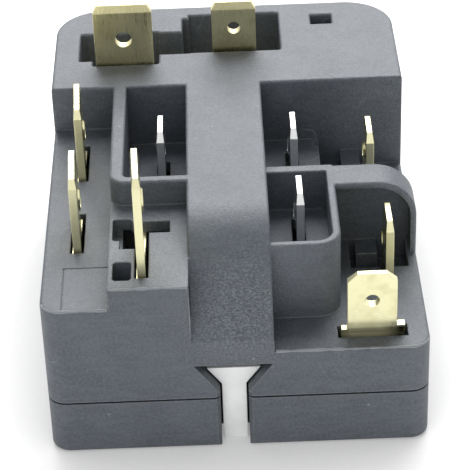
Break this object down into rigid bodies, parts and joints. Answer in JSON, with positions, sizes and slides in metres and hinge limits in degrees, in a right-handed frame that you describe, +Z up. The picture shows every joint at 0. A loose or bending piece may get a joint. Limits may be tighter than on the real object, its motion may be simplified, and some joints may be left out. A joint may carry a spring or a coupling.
{
  "type": "compressor start relay",
  "caption": "Combined starter and overload protector for a refrigerator compressor: a two-part plastic case with spade terminals in stepped decks, pockets and wells, and pin sleeves below.",
  "frame": {"origin": "centre of the footprint, on the underside", "axes": "+X to the right seen from the front, +Y from the front with the nose to the back, +Z up, away from the compressor"},
  "size_m": [0.0376, 0.051, 0.0303],
  "materials": {
    "case_plastic": "fine moulded grain",
    "white_plastic": "satin",
    "brass": "bright rolled",
    "tinned_brass": "tinned",
    "ceramic": "fired ceramic with metallised faces",
    "spring_steel": "satin",
    "phenolic": "matt moulded",
    "contact_silver": "polished",
    "plated_steel": "plated"
  },
  "bodies": {
    "root": {"housing": "case_plastic", "base_cover": "case_plastic", "slot_key": "white_plastic", "left_terminal_strip": "brass", "tall_terminal": "brass", "wide_rear_terminal": "brass", "narrow_rear_terminal": "brass", "line_terminal": "brass", "bay_terminal": "brass", "pocket_terminal": "brass", "line_contact_strip": "brass", "common_contact_strip": "brass", "run_terminal": "tinned_brass", "start_terminal": "tinned_brass", "common_terminal": "tinned_brass", "starter_disc": "ceramic", "disc_spring_left": "spring_steel", "disc_spring_right": "spring_steel", "bimetal_disc": "spring_steel", "protector_base": "phenolic", "line_contact": "contact_silver", "common_contact": "contact_silver", "moving_contact_line": "contact_silver", "moving_contact_common": "contact_silver", "protector_stud": "plated_steel", "protector_nut": "plated_steel", "heater": "plated_steel"}
  },
  "joints": []
}
